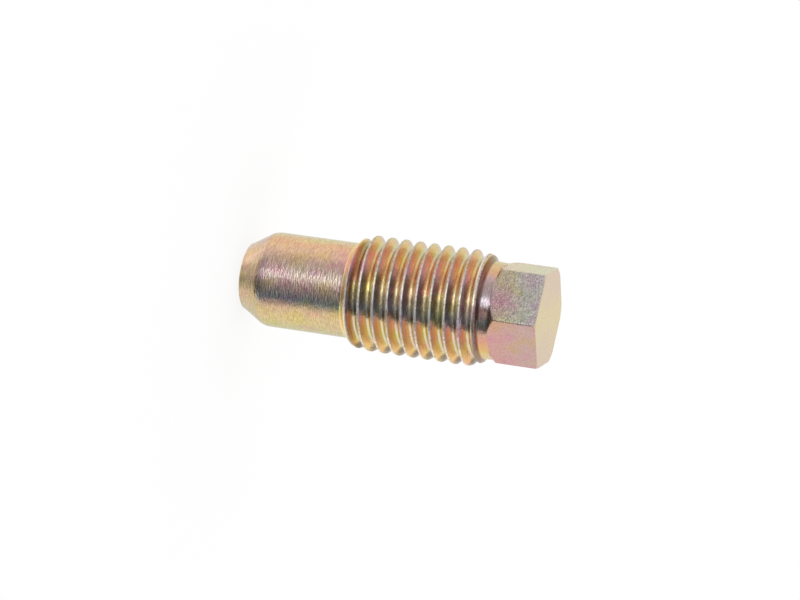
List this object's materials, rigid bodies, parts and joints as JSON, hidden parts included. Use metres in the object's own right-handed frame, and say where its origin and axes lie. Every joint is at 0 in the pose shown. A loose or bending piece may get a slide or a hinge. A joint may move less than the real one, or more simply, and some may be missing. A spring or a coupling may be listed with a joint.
{
  "type": "screw plug",
  "caption": "One-piece steel plug with a chamfered plain pilot, a metric thread, a turned neck and a hexagon end.",
  "frame": {"origin": "centre of the flat at the pilot's tip, on which the plug stands", "axes": "+Z along the screw axis, from the tip to the hexagon; two of the hexagon's flats face +Y and -Y"},
  "size_m": [0.0118, 0.0118, 0.032],
  "materials": {
    "yellow_zinc_steel": "turned, rolled and milled steel, zinc plated and yellow chromated, with pink, orange, olive and grey tints"
  },
  "bodies": {
    "root": {"screw_plug": "yellow_zinc_steel"}
  },
  "joints": []
}
